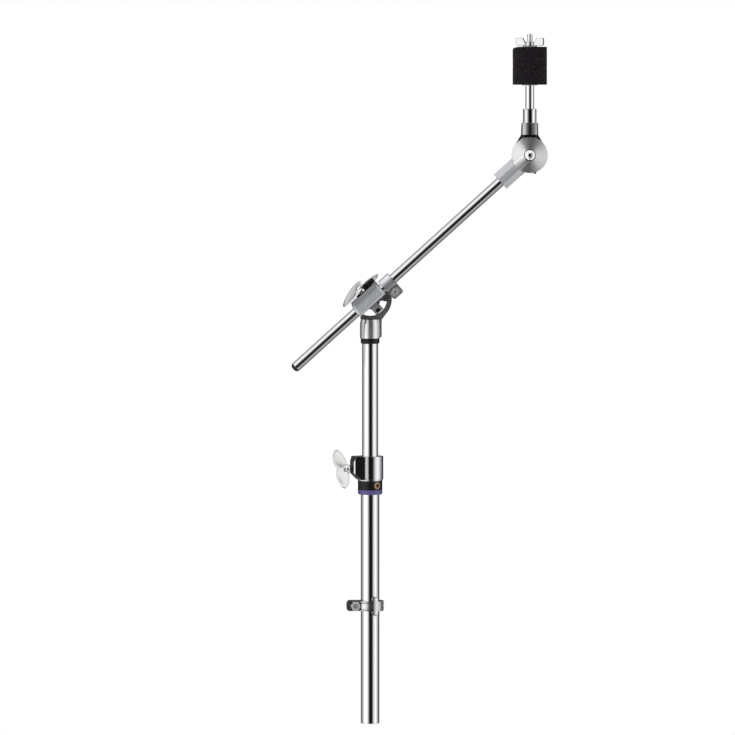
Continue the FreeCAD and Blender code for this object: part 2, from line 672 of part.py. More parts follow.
def boom_lock():
    """Split memory collar with two ears."""
    u_high = BOOM_LOCK_U + BOOM_LOCK_LENGTH
    bolt_u = BOOM_LOCK_U + BOOM_LOCK_LENGTH / 2 - 0.4
    collar = cylinder(BOOM_LOCK_R, BOOM_LOCK_LENGTH, V(BOOM_LOCK_U, BOOM_Y, 0), X_AXIS)
    ears = box(V(BOOM_LOCK_U, BOOM_Y - 5.0, -19.4), V(u_high, BOOM_Y + 5.0, 0))
    lower = [edge for edge in ears.Edges if edge.BoundBox.ZMax < -10 and edge.BoundBox.XLength < 0.01]
    ears = ears.makeFillet(3.0, [edge for edge in lower if edge.BoundBox.YLength > 1])
    lock = collar.fuse(ears).removeSplitter()
    lock = lock.cut(cylinder(ARM_R + RUN, 40, V(BOOM_LOCK_U - 5, BOOM_Y, 0), X_AXIS))
    lock = lock.cut(box(V(BOOM_LOCK_U - 1, BOOM_Y - 0.6, -25), V(u_high + 1, BOOM_Y + 0.6, -3)))
    lock = lock.cut(cylinder(2.55, 30, V(bolt_u, BOOM_Y - 15, BOOM_LOCK_BOLT_W), Y_AXIS))
    return on_boom(lock)


def boom_lock_bolt():
    """Round-head bolt with a stepped head and a square key socket."""
    r = BOOM_LOCK_HEAD_R
    bolt = turned([
        (0, 0), (3.2, 0), (3.6, 0.4), (3.6, 1.3), (4.6, 1.3), (r - 0.3, 1.9), (r, 2.6), (r, 4.2), (2.5, 4.2),
        (2.5, 17.8), (0, 17.8),
    ])
    bolt = bolt.cut(box(V(-1.9, -1.9, -1), V(1.9, 1.9, 2.0)))
    start = V(BOOM_LOCK_U + BOOM_LOCK_LENGTH / 2 - 0.4, BOOM_Y - 5.0 - 4.2 - FACE, BOOM_LOCK_BOLT_W)
    return on_boom(placed(bolt, start, Y_AXIS, X_AXIS))


def boom_lock_nut():
    nut = hexagon(8.0, 3.2).cut(cylinder(2.5 + RUN, 3.2))
    start = V(BOOM_LOCK_U + BOOM_LOCK_LENGTH / 2 - 0.4, BOOM_Y + 5.0 + FACE, BOOM_LOCK_BOLT_W)
    return on_boom(placed(nut, start, Y_AXIS, X_AXIS))


# ---- cymbal tilter ----
def holder_bar():
    """Eight-sided bar round the arm's end."""
    slope = 4.5
    front = BOOM_Y - HOLDER_FRONT
    back = BOOM_Y + HOLDER_BACK
    upper = [
        (front, HOLDER_FLAT), (front + slope, HOLDER_HALF), (back - slope, HOLDER_HALF), (back, HOLDER_FLAT),
    ]
    outline = upper + [(y, -w) for y, w in reversed(upper)]
    points = [V(HOLDER_U, y, w) for y, w in outline]
    return Part.Face(Part.makePolygon(points + points[:1])).extrude(V(TILT_U - HOLDER_U - 4.0, 0, 0))


def holder_web():
    """Flat web that fills the corner between the bar and the disc's lower side."""
    start = TILT_U - 24
    below = direction(-90 - BOOM_ANGLE) * DISC_R
    meet = below.x - (below.z + HOLDER_HALF) / math.tan(math.radians(BOOM_ANGLE))
    return prism([
        (start, -HOLDER_HALF), (TILT_U + meet, -HOLDER_HALF), (TILT_U + below.x, below.z), (TILT_U, 0),
        (start, 0),
    ], BOOM_Y - 4.0, BOOM_Y + 1.0)


def arm_holder():
    """Faceted bar on the arm's end that widens into the front disc."""
    back = BOOM_Y + 1.0
    disc = turned([(0, 0), (DISC_R, 0), (DISC_R, 7.4), (DISC_R - 0.5, 7.9), (0, 8.3)])
    disc = placed(disc, V(TILT_U, back, 0), -Y_AXIS, X_AXIS)
    clear_back = cylinder(DISC_R + 2.6, 20, V(TILT_U, back, 0), Y_AXIS)
    holder = holder_bar().cut(clear_back).fuse(disc).removeSplitter()
    holder = holder.fuse(holder_web()).removeSplitter()
    holder = holder.cut(cylinder(ARM_R + SEAT, ARM_FRONT - HOLDER_U + FACE, V(HOLDER_U, BOOM_Y, 0), X_AXIS))
    holder = holder.cut(cylinder(TILT_BOLT_R + RUN, 40, V(TILT_U, BOOM_Y - 20, 0), Y_AXIS))
    holder = holder.cut(cylinder(TILT_HEAD_R + 0.3, 10, V(TILT_U, BOOM_Y - 16.4, 0), Y_AXIS))
    return on_boom(holder.cut(holder_pin_hole()))


def holder_pin_hole():
    """Hole for the spring pin, in the boom's frame."""
    return cylinder(1.5 + SEAT, 30, V(HOLDER_U + 12, BOOM_Y, 0), Y_AXIS)


def holder_pin():
    """Spring pin through the back of the holder and the arm."""
    return on_boom(cylinder(1.5, HOLDER_BACK - 4.4, V(HOLDER_U + 12, BOOM_Y + 4.3, 0), Y_AXIS))


def tilter_bolt():
    """Dome-head bolt on which the rod base turns."""
    r = TILT_HEAD_R
    bolt = turned([
        (0, 0), (2.2, 0.15), (4.2, 0.9), (5.7, 2.1), (r, 3.6), (r, 4.3), (TILT_BOLT_R, 4.3),
        (TILT_BOLT_R, 24), (0, 24),
    ])
    bolt = bolt.fuse(thread(TILT_BOLT_R, CLAMP_PITCH, 14.0).translated(V(0, 0, 24)))
    bolt = bolt.removeSplitter().cut(hexagon(4.0, 3.2, -1.0))
    return on_rod(placed(bolt, V(0, -6.4 - 4.3 - FACE, 0), Y_AXIS, X_AXIS))


def friction_disc():
    return on_rod(ring(DISC_R - 0.4, TILT_BOLT_R + RUN, 1.2, V(0, 1.0 + FACE, 0), Y_AXIS))


def rod_base():
    """Rear disc with a neck that carries the cymbal rod."""
    front = 2.2 + 2 * FACE
    back = 10.2
    neck_z = NECK_Z - TILT_CENTRE.z
    top_z = NECK_TOP - TILT_CENTRE.z
    disc = cylinder(DISC_R - 0.5, back - front, V(0, front, 0), Y_AXIS)
    right = [(DISC_R * 0.93, DISC_R * 0.36), (NECK_R - 0.4, neck_z), (NECK_R - 0.6, neck_z + 6)]
    flank = prism(right + [(-x, z) for x, z in reversed(right)], front, back)
    neck = turned([
        (0, neck_z), (NECK_R, neck_z), (NECK_R - 0.5, top_z - 0.6), (NECK_R - 1.1, top_z), (0, top_z),
    ])
    base = disc.fuse([flank, neck]).removeSplitter()
    base = base.cut(cylinder(TILT_BOLT_R + RUN, 40, V(0, -20, 0), Y_AXIS))
    return on_rod(base.cut(cylinder(ROD_R + SEAT, 40, V(0, 0, neck_z + 3))))


def rod_collar():
    height = ROD_COLLAR_TOP - NECK_TOP - FACE
    edge = 0.8
    collar = turned([
        (ROD_R + SEAT, 0), (ROD_COLLAR_R, 0), (ROD_COLLAR_R, height - edge), (ROD_COLLAR_R - edge, height),
        (ROD_R + SEAT, height),
    ])
    return on_rod(collar.translated(V(0, 0, NECK_TOP + FACE - TILT_CENTRE.z)))


def cymbal_rod():
    """Rod that narrows to a threaded stud for the cymbal."""
    low = NECK_Z + 3.2
    rod = cylinder(ROD_R, SEAT_Z - low)
    stud_low = SEAT_Z - low
    stud = cylinder(STUD_R - 0.5, 20, V(0, 0, stud_low))
    screw = thread(STUD_R, STUD_PITCH, STUD_TOP - SEAT_Z - 20.6, 0.12).translated(V(0, 0, stud_low + 20))
    tip = cylinder(STUD_R - 0.9, 0.6, V(0, 0, STUD_TOP - low - 0.6))
    rod = rod.fuse([stud, screw, tip]).removeSplitter()
    return on_rod(rod.translated(V(0, 0, low - TILT_CENTRE.z)))


def tilter_washer():
    return on_rod(ring(9.0, TILT_BOLT_R + RUN, 1.5, V(0, 10.2 + FACE, 0), Y_AXIS))


def tilter_wing_nut():
    """Compact wing nut behind the rod base."""
    low = 11.7 + 2 * FACE
    half = TILT_WING_SPAN / 2
    hub = cylinder(7.2, 9.0, V(0, low, 0), Y_AXIS)
    thick = 1.9
    start = low + 1.2
    blade = box(V(-half + 2, start, -thick), V(half - 2, low + 8.0, thick))
    for side in (-1, 1):
        middle = side * (half - 6)
        blade = blade.fuse(cylinder(thick, 11.0, V(side * (half - thick), start, 0), Y_AXIS))
        blade = blade.fuse(box(V(middle - 4, start, -thick), V(middle + 4, start + 11.0, thick)))
    nut = hub.fuse(spun(blade, -TILT_WING_ANGLE, axis=Y_AXIS)).removeSplitter()
    return on_rod(nut.cut(cylinder(TILT_BOLT_R + RUN, 40, V(0, -5, 0), Y_AXIS)))


# ---- cymbal seat ----
def on_seat(shape, height):
    """From a frame on the rod's axis at the seat to the stand's."""
    return on_rod(shape.translated(V(0, 0, SEAT_Z + height - TILT_CENTRE.z)))


def seat_washer():
    return on_seat(ring(9.0, STUD_R + RUN, SEAT_WASHER - FACE), FACE)


def felt(height):
    """Felt disc at a height above the seat."""
    edge = 1.6
    bore = SLEEVE_R + 0.2
    return on_seat(turned([
        (bore, 0), (FELT_R - edge, 0), (FELT_R, edge), (FELT_R, FELT_HEIGHT - edge),
        (FELT_R - edge, FELT_HEIGHT), (bore, FELT_HEIGHT),
    ]), height)


def cymbal_sleeve():
    """Nylon sleeve that keeps the cymbal and felts off the thread."""
    return on_seat(ring(SLEEVE_R, STUD_R + RUN, 2 * FELT_HEIGHT - 0.4), SEAT_WASHER + FACE)


def top_washer():
    return on_seat(ring(8.4, STUD_R + RUN, TOP_WASHER), TOP_WASHER_SEAT)


def top_wing_nut():
    """Wing nut with two upright wings that lean outwards."""
    hub = turned([(STUD_R + RUN, 0), (5.8, 0), (5.2, 4.6), (STUD_R + RUN, 4.6)])
    wings = []
    tip = TOP_WING_SPAN / 2
    for side in (-1, 1):
        outline = [
            (4.4, 0.2), (tip - 1.6, 0.2), (tip, 2.0), (tip, 8.0), (tip - 1.0, 9.2), (8.8, 9.2), (5.2, 2.6),
            (4.4, 2.4),
        ]
        wings.append(prism([(side * x, z) for x, z in outline], -1.3, 1.3))
    nut = spun(hub.fuse(wings).removeSplitter(), TOP_WING_TURN)
    nut = nut.cut(cylinder(STUD_R + RUN, 20, V(0, 0, -5)))
    return on_seat(nut, TOP_WASHER_SEAT + TOP_WASHER + FACE)


def parts():
    """Every node's name and shape."""
    lower = SEAT_WASHER + FACE
    upper = SEAT_WASHER + FELT_HEIGHT + 2 * FACE
    return {
        "lower_tube": lower_tube(),
        "middle_tube": middle_tube(),
        "lower_lock_front": lock_front(),
        "lower_lock_back": lock_back(),
        "lower_lock_hinge_pin": lock_hinge_pin(),
        "lower_lock_bolt": lock_bolt(),
        "lower_lock_nut": lock_nut(),
        "clamp_ring": clamp_ring(),
        "clamp_band": clamp_band(),
        "band_rivet": band_rivet(),
        "height_clamp_body": height_clamp_body(),
        "clamp_liner": clamp_liner(),
        "clamp_pad": clamp_pad(),
        "clamp_wing_screw": clamp_wing_screw(),
        "clamp_wing": clamp_wing(),
        "tilter_collar": tilter_collar(),
        "tilter_base": tilter_base(),
        "socket_pin": socket_pin(),
        "boom_clamp_body": boom_clamp_body(),
        "pivot_washer": pivot_washer(),
        "pivot_screw": pivot_screw(),
        "boom_bush": boom_bush(),
        "tilt_shoe": tilt_shoe(),
        "boom_wing_screw": boom_wing_screw(),
        "boom_wing_washer": boom_wing_washer(),
        "boom_wing": boom_wing(),
        "boom_arm": boom_arm(),
        "boom_end_cap": boom_end_cap(),
        "boom_lock": boom_lock(),
        "boom_lock_bolt": boom_lock_bolt(),
        "boom_lock_nut": boom_lock_nut(),
        "arm_holder": arm_holder(),
        "holder_pin": holder_pin(),
        "tilter_bolt": tilter_bolt(),
        "friction_disc": friction_disc(),
        "rod_base": rod_base(),
        "rod_collar": rod_collar(),
        "cymbal_rod": cymbal_rod(),
        "tilter_washer": tilter_washer(),
        "tilter_wing_nut": tilter_wing_nut(),
        "seat_washer": seat_washer(),
        "lower_felt": felt(lower),
        "upper_felt": felt(upper),
        "cymbal_sleeve": cymbal_sleeve(),
        "top_washer": top_washer(),
        "top_wing_nut": top_wing_nut(),
    }


os.makedirs("parts", exist_ok=True)
for name, shape in parts().items():
    shape.exportStep("parts/" + name + ".step")
    print(name, len(shape.Solids), shape.isValid(), round(shape.Volume, 1))
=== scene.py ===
import json
import math

import bmesh
import bpy
from mathutils import Matrix, Vector, noise


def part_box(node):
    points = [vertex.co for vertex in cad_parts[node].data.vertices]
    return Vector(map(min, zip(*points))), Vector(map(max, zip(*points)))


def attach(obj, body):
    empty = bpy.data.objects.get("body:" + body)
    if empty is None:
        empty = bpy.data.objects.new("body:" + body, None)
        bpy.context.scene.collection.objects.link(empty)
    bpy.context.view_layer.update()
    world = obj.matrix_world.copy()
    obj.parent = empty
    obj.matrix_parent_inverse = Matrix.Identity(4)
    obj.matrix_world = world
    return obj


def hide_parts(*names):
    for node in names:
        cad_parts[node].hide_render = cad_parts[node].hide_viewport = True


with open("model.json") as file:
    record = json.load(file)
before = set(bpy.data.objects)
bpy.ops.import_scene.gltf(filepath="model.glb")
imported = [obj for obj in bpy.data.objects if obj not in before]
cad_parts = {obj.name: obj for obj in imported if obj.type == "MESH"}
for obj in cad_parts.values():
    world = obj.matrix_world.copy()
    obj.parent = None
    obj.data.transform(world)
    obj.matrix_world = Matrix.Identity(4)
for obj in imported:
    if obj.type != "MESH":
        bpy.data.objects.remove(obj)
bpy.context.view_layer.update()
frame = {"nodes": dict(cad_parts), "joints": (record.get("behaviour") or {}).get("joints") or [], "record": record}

MM = 0.001
JOINTS = {joint["name"]: joint for joint in frame["joints"]}

# Places and directions from the frame: the boom's pivot, the directions along the arm and square
# to it in the picture plane, and the centre of the cymbal tilter.
PIVOT = Vector(JOINTS["boom_tilt"]["pos_m"])
RISE = Vector(JOINTS["boom_slide"]["axis"]).normalized()
UPRIGHT = Vector((-RISE.z, 0, RISE.x))
BOOM_TURN = (0, math.atan2(RISE.z, RISE.x), 0)
TILT_CENTRE = Vector(JOINTS["cymbal_tilt"]["pos_m"])
ACROSS = (1, 0, 0)
AWAY = (0, 1, 0)


def rivet_line():
    """A point on the band rivet's axis, and the axis, square out from the tube."""
    low_corner, high_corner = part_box("band_rivet")
    middle = (Vector(low_corner) + Vector(high_corner)) / 2
    return middle, Vector((middle.x, middle.y, 0)).normalized()


# ---- node trees ----
# Pattern values between which mottling falls off, facing values between which painted shade darkens a
# surface turning away, and how closely normals match on a painted dark edge line and on the flat beside it.
MOTTLE = (0.3, 0.7)
TURNED_AWAY = (0.5, 0.82)
LINE_MATCH = (0.80, 0.985)
LINE_SAMPLES = 12


class Nodes:
    """A node tree built up one node at a time."""

    def __init__(self, tree):
        self.tree = tree

    def node(self, kind, **values):
        """New node, with its own settings and its inputs' values set by name."""
        made = self.tree.nodes.new(kind)
        for key, value in values.items():
            if hasattr(made, key):
                setattr(made, key, value)
            else:
                made.inputs[key.replace("_", " ")].default_value = value
        return made

    def link(self, source, target):
        self.tree.links.new(source, target)

    def put(self, value, target):
        """Links an output to an input, or sets the input to a fixed value."""
        if isinstance(value, bpy.types.NodeSocket):
            self.link(value, target)
        else:
            target.default_value = value

    def maths(self, operation, first, second):
        """Result of an operation on two numbers."""
        made = self.node("ShaderNodeMath", operation=operation)
        self.put(first, made.inputs[0])
        self.put(second, made.inputs[1])
        return made.outputs[0]

    def vector(self, operation, *values):
        """Result of a vector operation: a number for a dot product or a length, else a vector."""
        made = self.node("ShaderNodeVectorMath", operation=operation)
        for value, target in zip(values, made.inputs):
            self.put(value, target)
        return made.outputs["Value" if operation in ("DOT_PRODUCT", "LENGTH") else "Vector"]

    def spread(self, value, low, high, start=0.0, end=1.0):
        """Value from start..end to low..high, held at both ends."""
        made = self.node("ShaderNodeMapRange")
        for key, bound in (("From Min", start), ("From Max", end), ("To Min", low), ("To Max", high)):
            made.inputs[key].default_value = bound
        self.link(value, made.inputs["Value"])
        return made.outputs["Result"]

    def ramp(self, value, stops):
        """Colour ramp from (position, colour or grey) stops."""
        made = self.node("ShaderNodeValToRGB")
        points = made.color_ramp.elements
        while len(points) < len(stops):
            points.new(0.5)
        for point, (place, colour) in zip(points, stops):
            point.position = place
            point.color = (*colour, 1) if isinstance(colour, tuple) else (colour, colour, colour, 1)
        self.link(value, made.inputs["Fac"])
        return made.outputs["Color"]

    def mixed(self, share, first, second, blend="MIX"):
        """Two colours mixed by a share of the second."""
        made = self.node("ShaderNodeMix", data_type="RGBA", blend_type=blend)
        for key, value in (("Factor", share), ("A", first), ("B", second)):
            self.put(value, made.inputs[key])
        return made.outputs["Result"]


class Shader(Nodes):
    """A material's node tree.

    Centres are in metres in the shared frame. Radii, band places and relief are in millimetres.
    """

    def __init__(self, name):
        self.material = bpy.data.materials.new(name)
        self.material.use_nodes = True
        super().__init__(self.material.node_tree)
        self.bsdf = self.tree.nodes["Principled BSDF"]
        self.place = self.node("ShaderNodeTexCoord").outputs["Object"]

    def surface(self, **values):
        """Sets or links inputs of the surface by name."""
        for key, value in values.items():
            self.put(value, self.bsdf.inputs[key.replace("_", " ")])

    def scaled(self, x, y, z, rotation):
        """Object coordinates stretched for a directional pattern."""
        mapping = self.node("ShaderNodeMapping")
        self.link(self.place, mapping.inputs["Vector"])
        mapping.inputs["Rotation"].default_value = rotation
        mapping.inputs["Scale"].default_value = (x, y, z)
        return mapping.outputs["Vector"]

    def noise(self, scale, detail, vector=None, rough=0.5):
        """Noise pattern in 0..1, with its scale in features per metre."""
        made = self.node("ShaderNodeTexNoise", Scale=scale, Detail=detail, Roughness=rough)
        self.link(vector if vector else self.place, made.inputs["Vector"])
        return made.outputs["Fac"]

    def mottled(self, pattern, colour, share):
        """Colour that falls to a share of itself where a pattern is low."""
        low, high = MOTTLE
        return self.ramp(pattern, [(low, tuple(share * c for c in colour)), (high, colour)])

    def dimmed(self, colour, share):
        """Product of two colours."""
        return self.mixed(1.0, colour, share, "MULTIPLY")

    def shaded(self, colour, edge):
        """Colour that falls to a share of itself where the surface turns away from the eye: painted shade for dark
        outlines.
        """
        facing = self.node("ShaderNodeLayerWeight", Blend=0.5)
        near, far = TURNED_AWAY
        return self.dimmed(colour, self.ramp(facing.outputs["Facing"], [(near, 1.0), (far, edge)]))

    def lined(self, colour, radius, dark):
        """Colour that falls to a share of itself along sharp edges, where the rounded normal differs: painted
        shade in dark lines.
        """
        soft = self.node("ShaderNodeBevel", Radius=radius * MM, samples=LINE_SAMPLES)
        plain = self.node("ShaderNodeNewGeometry")
        match = self.vector("DOT_PRODUCT", soft.outputs["Normal"], plain.outputs["Normal"])
        edge, flat = LINE_MATCH
        return self.dimmed(colour, self.ramp(match, [(edge, dark), (flat, 1.0)]))

    def bands(self, centre, axis, stops):
        """Share that goes with the distance from a point along an axis, from (distance, share) stops."""
        height = self.vector("DOT_PRODUCT", self.vector("SUBTRACT", self.place, centre), axis)
        first, last = stops[0][0], stops[-1][0]
        levels = [((place - first) / (last - first), share) for place, share in stops]
        return self.ramp(self.spread(height, 0, 1, first * MM, last * MM), levels)

    def about(self, centre, axis):
        """Distance from an axis, and the direction that runs round it."""
        across = self.vector("CROSS_PRODUCT", axis, self.vector("SUBTRACT", self.place, centre))
        return self.vector("LENGTH", across), self.vector("NORMALIZE", across)

    def relief(self, height, distance, strength, radius=0.0):
        """Bump from a height in 0..1, over edges rounded by a small radius."""
        bump = self.node("ShaderNodeBump", Distance=distance * MM, Strength=strength)
        self.link(height, bump.inputs["Height"])
        if radius:
            bevel = self.node("ShaderNodeBevel", Radius=radius * MM)
            self.link(bevel.outputs["Normal"], bump.inputs["Normal"])
        self.link(bump.outputs["Normal"], self.bsdf.inputs["Normal"])


# ---- materials ----
SATIN_GRAIN = (300, 300, 300)
RING_SCALE = 2600.0
# Painted highlight on the turned disc, from its right side (0) to its left side (1), tilted a little, out to
# the radius where its casting goes on in a plain tone.
FAN_TILT = math.radians(8)
FAN_RADIUS = 21.2
FAN_EDGE = 0.002
FAN = [
    (0.0, 0.84), (0.12, 0.72), (0.28, 0.46), (0.48, 0.28), (0.62, 0.32), (0.78, 0.50), (0.90, 0.90),
    (1.0, 1.0),
]
PLAIN_TONE = (0.52, 0.53, 0.55, 1)
# Rivet tones by share of this radius.
RIVET_REACH = 4.6
RIVET_RINGS = [
    (0.3, (0.07, 0.03, 0.02)), (0.48, (0.12, 0.06, 0.04)),
    (0.6, (0.50, 0.34, 0.22)), (0.9, (0.26, 0.15, 0.09)),
]
WOOL_TONES = [
    (0.38, (0.002, 0.0014, 0.0022)), (0.52, (0.010, 0.0075, 0.0095)), (0.68, (0.045, 0.037, 0.044)),
]


def chrome(name, tint=(0.92, 0.92, 0.93), rough=(0.03, 0.07), wave=0.0, metallic=1.0, edge=1.0, line=None,
           bands=None, highlight_bands=None):
    """Polished plate, faintly hazed by handling; painted shade darkens lines along its edges and where it turns
    away.

    Painted bands of light and shade dim it, and highlight bands set how metallic it is, for a painted highlight.
    """
    s = Shader(name)
    haze_and_shade = s.mottled(s.noise(60, 4), tint, 0.97)
    if line:
        haze_and_shade = s.lined(haze_and_shade, *line)
    if bands:
        haze_and_shade = s.dimmed(haze_and_shade, s.bands(*bands))
    s.surface(Base_Color=s.shaded(haze_and_shade, edge), Metallic=s.bands(*highlight_bands) if highlight_bands else metallic,
              Roughness=s.spread(s.noise(220, 5), *rough))
    s.relief(s.noise(180, 2), 0.04 + wave, 0.15, 0.3)
    return s.material


def brushed(name, tint, rough, grain=SATIN_GRAIN, rotation=(0, 0, 0), line=(1.8, 0.35), bands=None):
    """Satin casting brushed one way, with painted shade on edges and turned-away sides, and painted bands of
    light.
    """
    s = Shader(name)
    lines = s.noise(1.0, 2, s.scaled(*grain, rotation))
    grain_and_painted_light = s.lined(s.mottled(lines, tint, 0.88), *line)
    if bands:
        grain_and_painted_light = s.dimmed(grain_and_painted_light, s.bands(*bands))
    s.surface(Base_Color=s.shaded(grain_and_painted_light, 0.35), Metallic=0.55, Anisotropic=0.35,
              Roughness=s.spread(s.noise(90, 3), *rough))
    s.relief(lines, 0.01, 0.2, 0.5)
    return s.material


def turned_metal(name, centre, axis):
    """Face-turned disc: fine rings round an axis and a painted highlight, the fan they throw to both sides."""
    s = Shader(name)
    far, along = s.about(centre, axis)
    rings = s.node("ShaderNodeTexNoise", noise_dimensions="1D", Scale=RING_SCALE, Detail=3.0)
    s.link(far, rings.inputs["W"])
    lean = s.vector("DOT_PRODUCT", along, (math.sin(FAN_TILT), 0, math.cos(FAN_TILT)))
    fan = s.ramp(s.spread(lean, 0, 1, -1, 1), FAN)
    middle = [(0.5 - FAN_EDGE, 0.0), (0.5 + FAN_EDGE, 1.0)]
    outside = s.ramp(s.spread(far, 0, 1, 0, 2 * FAN_RADIUS * MM), middle)
    painted_fan_and_tone = s.mixed(outside, fan, PLAIN_TONE)
    grain_and_painted_light = s.dimmed(painted_fan_and_tone, s.mottled(rings.outputs["Fac"], (1.0, 1.0, 1.0), 0.8))
    # The fan's painted highlight also lowers how metallic the disc is; painted shade darkens edge lines and
    # turned-away sides.
    s.surface(Base_Color=s.shaded(s.lined(grain_and_painted_light, 1.2, 0.3), 0.35), Metallic=s.spread(fan, 0.9, 0.15),
              Roughness=s.spread(s.noise(120, 3), 0.30, 0.38))
    s.relief(rings.outputs["Fac"], 0.02, 0.3, 0.5)
    return s.material


def eyelet(name, centre, axis):
    """Dull copper rivet with a dark hollow middle."""
    s = Shader(name)
    far, _ = s.about(centre, axis)
    s.surface(Base_Color=s.ramp(s.spread(far, 0, 1, 0, RIVET_REACH * MM), RIVET_RINGS), Metallic=0.6,
              Roughness=s.spread(s.noise(700, 3), 0.35, 0.5))
    return s.material


def moulded(name, colour, rough):
    """Moulded plastic or black oxide with a fine even texture."""
    s = Shader(name)
    s.surface(Base_Color=s.mottled(s.noise(300, 3), colour, 0.8), Metallic=0.0, Specular_IOR_Level=0.35,
              Roughness=s.spread(s.noise(500, 3), *rough))
    s.relief(s.noise(2500, 2), 0.03, 0.5, 0.3)
    return s.material


def wool(name):
    """Pressed black wool felt: matted fibres, lint and a soft sheen."""
    s = Shader(name)
    fibre = s.noise(640, 6, rough=0.8)
    s.surface(Base_Color=s.ramp(fibre, WOOL_TONES), Metallic=0.0, Specular_IOR_Level=0.05,
              Roughness=s.spread(s.noise(240, 4), 0.85, 1.0), Sheen_Weight=0.05, Sheen_Roughness=0.5)
    s.relief(fibre, 0.6, 0.9)
    return s.material


# Painted bands of studio light and shade on the pieces, as (distance, share) stops in millimetres: square
# to the arm on the boom clamp, the arm's lock and the arm, and across from the tilt centre on the neck and
# the collar. The last is a painted highlight on the height clamp's casting, across from the tube's axis:
# how metallic it is, low in a bright line where its flat side meets the round one.
ACROSS_BODY = [
    (-19, 0.5), (-8, 0.5), (-7, 0.8), (-4, 0.9), (1, 1.0), (4, 0.85), (7, 0.6), (9.5, 0.35), (12, 0.2),
]
ACROSS_LOCK = [
    (-20, 0.36), (-16, 0.46), (-9.5, 0.42), (-8.9, 0.16), (-8, 0.28), (-3, 0.30), (1, 0.42), (4, 0.62),
    (6, 0.86), (8, 0.8), (9.5, 0.4),
]
ACROSS_ARM = [(-6, 0.22), (-5, 0.36), (-3, 0.42), (-1.6, 0.8), (0, 1.0), (3, 1.0), (4.6, 0.6), (6, 0.25)]
ACROSS_NECK = [
    (-12, 0.25), (-10.4, 0.6), (-9, 1.0), (-7.2, 1.0), (-5.5, 0.45), (-3.4, 0.18), (-1, 0.15), (0.2, 0.35),
    (2.4, 0.4), (3.8, 0.2), (6, 0.22), (7.2, 0.8), (8, 1.0), (9.6, 1.0), (10.4, 0.4), (12, 0.25),
]
ACROSS_COLLAR = [
    (-8, 0.8), (-4.5, 1.0), (-2.8, 0.5), (-1.8, 0.2), (1.2, 0.25), (2.4, 0.6), (3.6, 1.0), (8, 0.9),
]
CLAMP_PAINTED_HIGHLIGHT = [(-6.4, 1.0), (-5.0, 0.35), (-3.0, 0.35), (-1.4, 1.0)]
BOOM_GRAIN = {"grain": (420, 420, 40), "rotation": BOOM_TURN}

MATERIALS = {
    "chrome": chrome("polished_chrome", edge=0.6),
    "cast_chrome": chrome("cast_chrome", (0.84, 0.83, 0.83), (0.08, 0.16), wave=0.03, metallic=0.96,
                          edge=0.3, line=(0.9, 0.4)),
    "satin_cast": brushed("satin_casting", (0.62, 0.64, 0.68), (0.30, 0.40),
                          bands=(PIVOT, UPRIGHT, ACROSS_BODY), **BOOM_GRAIN),
    "steel": brushed("zinc_steel", (0.80, 0.78, 0.76), (0.22, 0.34), line=(1.8, 0.12)),
    "black_steel": moulded("black_oxide", (0.02, 0.02, 0.022), (0.25, 0.4)),
    "black_nylon": moulded("black_nylon", (0.005, 0.004, 0.006), (0.3, 0.42)),
    "blue_nylon": moulded("violet_nylon", (0.10, 0.09, 0.24), (0.2, 0.3)),
    "white_nylon": moulded("natural_nylon", (0.72, 0.70, 0.64), (0.4, 0.55)),
    "brass": brushed("dull_brass", (0.52, 0.40, 0.27), (0.25, 0.4)),
    "felt": wool("black_felt"),
}
WING_CHROME = chrome("wing_chrome", (0.80, 0.79, 0.77), (0.10, 0.2), wave=0.06, metallic=0.95, edge=0.08,
                     line=(1.7, 0.1))
BOOM_WING_CHROME = chrome("boom_wing_chrome", (0.95, 0.95, 0.94), (0.08, 0.16), wave=0.06, metallic=0.98,
                          edge=0.12)
LOCK_CHROME = chrome("lock_chrome", (0.80, 0.79, 0.79), (0.10, 0.18), wave=0.03, metallic=0.95, edge=0.25,
                     line=(2.4, 0.08))
NODE_MATERIALS = {
    "tilter_base": chrome("socket_chrome", (0.82, 0.81, 0.81), (0.12, 0.2), wave=0.03, metallic=0.86,
                          edge=0.25, line=(0.7, 0.3)),
    "rod_base": chrome("neck_chrome", (0.82, 0.81, 0.81), (0.12, 0.2), wave=0.03, metallic=0.95, edge=0.4,
                       line=(0.7, 0.5), bands=(TILT_CENTRE, ACROSS, ACROSS_NECK)),
    "rod_collar": chrome("collar_chrome", (0.9, 0.9, 0.9), edge=0.5,
                         bands=(TILT_CENTRE, ACROSS, ACROSS_COLLAR)),
    "boom_arm": chrome("arm_chrome", edge=0.4, bands=(PIVOT, UPRIGHT, ACROSS_ARM)),
    "boom_lock": brushed("satin_lock", (0.92, 0.93, 0.97), (0.25, 0.35), line=(2.4, 0.15),
                         bands=(PIVOT, UPRIGHT, ACROSS_LOCK), **BOOM_GRAIN),
    # Painted highlight: the casting is less metallic in a bright line where its flat side meets the round one.
    "height_clamp_body": chrome("clamp_casting", (0.84, 0.84, 0.87), (0.06, 0.12), wave=0.02, edge=0.3,
                                line=(1.6, 0.5), highlight_bands=((0, 0, 0), ACROSS, CLAMP_PAINTED_HIGHLIGHT)),
    "lower_lock_front": LOCK_CHROME,
    "lower_lock_back": LOCK_CHROME,
    "top_wing_nut": WING_CHROME,
    "band_rivet": eyelet("copper_rivet", *rivet_line()),
    "arm_holder": turned_metal("turned_disc", TILT_CENTRE, AWAY),
}


def dress(obj, material):
    obj.data.materials.clear()
    obj.data.materials.append(material)


def dress_cad():
    """Every CAD node gets its own procedural material, or else its slot's."""
    slots = {part["node"]: part["material_slot"] for part in frame["record"]["subparts"]}
    for node, obj in frame["nodes"].items():
        material = NODE_MATERIALS.get(node, MATERIALS[slots[node]])
        for held in obj.material_slots:
            held.material = material
        if not obj.material_slots:
            dress(obj, material)


